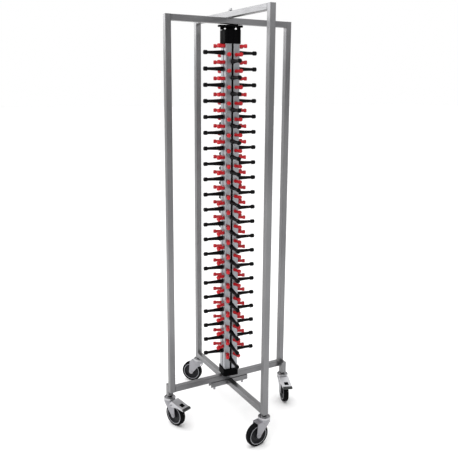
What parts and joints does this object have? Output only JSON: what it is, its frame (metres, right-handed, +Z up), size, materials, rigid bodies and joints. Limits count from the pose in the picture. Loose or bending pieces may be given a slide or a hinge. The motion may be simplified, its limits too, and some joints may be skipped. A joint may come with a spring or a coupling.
{
  "type": "plating cart",
  "caption": "Folding plate-stacking cart: two crossed tube frames on swivel casters around a turning column of plate arms and hold-down pegs.",
  "frame": {"origin": "on the floor, at the middle of the footprint with the casters standing as modelled; the column axis stands 21.1 mm along -Y from it", "axes": "+Z up; +X along the inner frame towards its right upright; +Y along the outer frame towards its far upright"},
  "size_m": [0.618, 0.7211, 1.796],
  "materials": {
    "stainless_tube": "satin",
    "rail_aluminium": "satin anodised",
    "black_plastic": "satin",
    "red_plastic": "gloss",
    "zinc_steel": "zinc plated",
    "bright_steel": "bright plated",
    "tyre_rubber": "matt",
    "wheel_plastic": "matt"
  },
  "bodies": {
    "inner_frame": {"inner_left_upright": "stainless_tube", "inner_right_upright": "stainless_tube", "inner_top_bar": "stainless_tube", "inner_bottom_bar": "stainless_tube", "inner_left_stub": "stainless_tube", "inner_right_stub": "stainless_tube", "top_pivot_bolt": "bright_steel", "top_dome_nut": "bright_steel", "bottom_pivot_bolt": "bright_steel", "pivot_washers": "bright_steel", "caster_plug_left": "black_plastic", "caster_plug_right": "black_plastic", "swivel_pin_left": "zinc_steel", "swivel_pin_right": "zinc_steel"},
    "outer_frame": {"outer_near_upright": "stainless_tube", "outer_far_upright": "stainless_tube", "outer_top_bar": "stainless_tube", "outer_bottom_bar": "stainless_tube", "cross_support_left": "stainless_tube", "cross_support_right": "stainless_tube", "lock_screws": "bright_steel", "caster_plug_near": "black_plastic", "caster_plug_far": "black_plastic", "swivel_pin_near": "zinc_steel", "swivel_pin_far": "zinc_steel"},
    "column": {"column_base": "black_plastic", "column_core": "black_plastic", "rail_back_right": "rail_aluminium", "rail_back_left": "rail_aluminium", "rail_front_left": "rail_aluminium", "rail_front_right": "rail_aluminium", "top_cap": "black_plastic", "support_arms_left": "black_plastic", "support_arms_right": "black_plastic", "support_arms_front": "black_plastic", "support_arms_back": "black_plastic", "hold_down_pegs_left": "red_plastic", "hold_down_pegs_right": "red_plastic", "hold_down_pegs_front": "red_plastic", "hold_down_pegs_back": "red_plastic"},
    "caster_near": {"fork_near": "zinc_steel", "axle_near": "bright_steel"},
    "wheel_near": {"wheel_core_near": "wheel_plastic", "tyre_near": "tyre_rubber"},
    "caster_far": {"fork_far": "zinc_steel", "axle_far": "bright_steel"},
    "wheel_far": {"wheel_core_far": "wheel_plastic", "tyre_far": "tyre_rubber"},
    "caster_left": {"fork_left": "zinc_steel", "axle_left": "bright_steel"},
    "wheel_left": {"wheel_core_left": "wheel_plastic", "tyre_left": "tyre_rubber"},
    "brake_left": {"brake_pedal_left": "zinc_steel"},
    "caster_right": {"fork_right": "zinc_steel", "axle_right": "bright_steel"},
    "wheel_right": {"wheel_core_right": "wheel_plastic", "tyre_right": "tyre_rubber"},
    "brake_right": {"brake_pedal_right": "zinc_steel"}
  },
  "joints": [
    {"name": "frame_fold", "type": "hinge", "parent": "inner_frame", "child": "outer_frame", "pos_m": [0, -0.0211, 0], "axis": [0, 0, 1], "range_deg": [-58, 0]},
    {"name": "column_turn", "type": "hinge", "parent": "inner_frame", "child": "column", "pos_m": [0, -0.0211, 0], "axis": [0, 0, 1], "continuous": true},
    {"name": "swivel_near", "type": "hinge", "parent": "outer_frame", "child": "caster_near", "pos_m": [0, -0.3346, 0], "axis": [0, 0, 1], "continuous": true},
    {"name": "wheel_spin_near", "type": "hinge", "parent": "caster_near", "child": "wheel_near", "pos_m": [-0.03591, -0.33711, 0.05], "axis": [0.0698, -0.9976, 0], "continuous": true},
    {"name": "swivel_far", "type": "hinge", "parent": "outer_frame", "child": "caster_far", "pos_m": [0, 0.2924, 0], "axis": [0, 0, 1], "continuous": true},
    {"name": "wheel_spin_far", "type": "hinge", "parent": "caster_far", "child": "wheel_far", "pos_m": [-0.02501, 0.3183, 0.05], "axis": [-0.7193, -0.6947, 0], "continuous": true},
    {"name": "swivel_left", "type": "hinge", "parent": "inner_frame", "child": "caster_left", "pos_m": [-0.283, 0.0039, 0], "axis": [0, 0, 1], "continuous": true},
    {"name": "wheel_spin_left", "type": "hinge", "parent": "caster_left", "child": "wheel_left", "pos_m": [-0.2701, -0.02971, 0.05], "axis": [0.9336, 0.3584, 0], "continuous": true},
    {"name": "brake_press_left", "type": "hinge", "parent": "caster_left", "child": "brake_left", "pos_m": [-0.27297, -0.02224, 0.097], "axis": [0.9336, 0.3584, 0], "range_deg": [0, 6]},
    {"name": "swivel_right", "type": "hinge", "parent": "inner_frame", "child": "caster_right", "pos_m": [0.283, -0.0461, 0], "axis": [0, 0, 1], "continuous": true},
    {"name": "wheel_spin_right", "type": "hinge", "parent": "caster_right", "child": "wheel_right", "pos_m": [0.27128, -0.08014, 0.05], "axis": [0.9455, -0.3256, 0], "continuous": true},
    {"name": "brake_press_right", "type": "hinge", "parent": "caster_right", "child": "brake_right", "pos_m": [0.27388, -0.07258, 0.097], "axis": [0.9455, -0.3256, 0], "range_deg": [0, 6]}
  ]
}
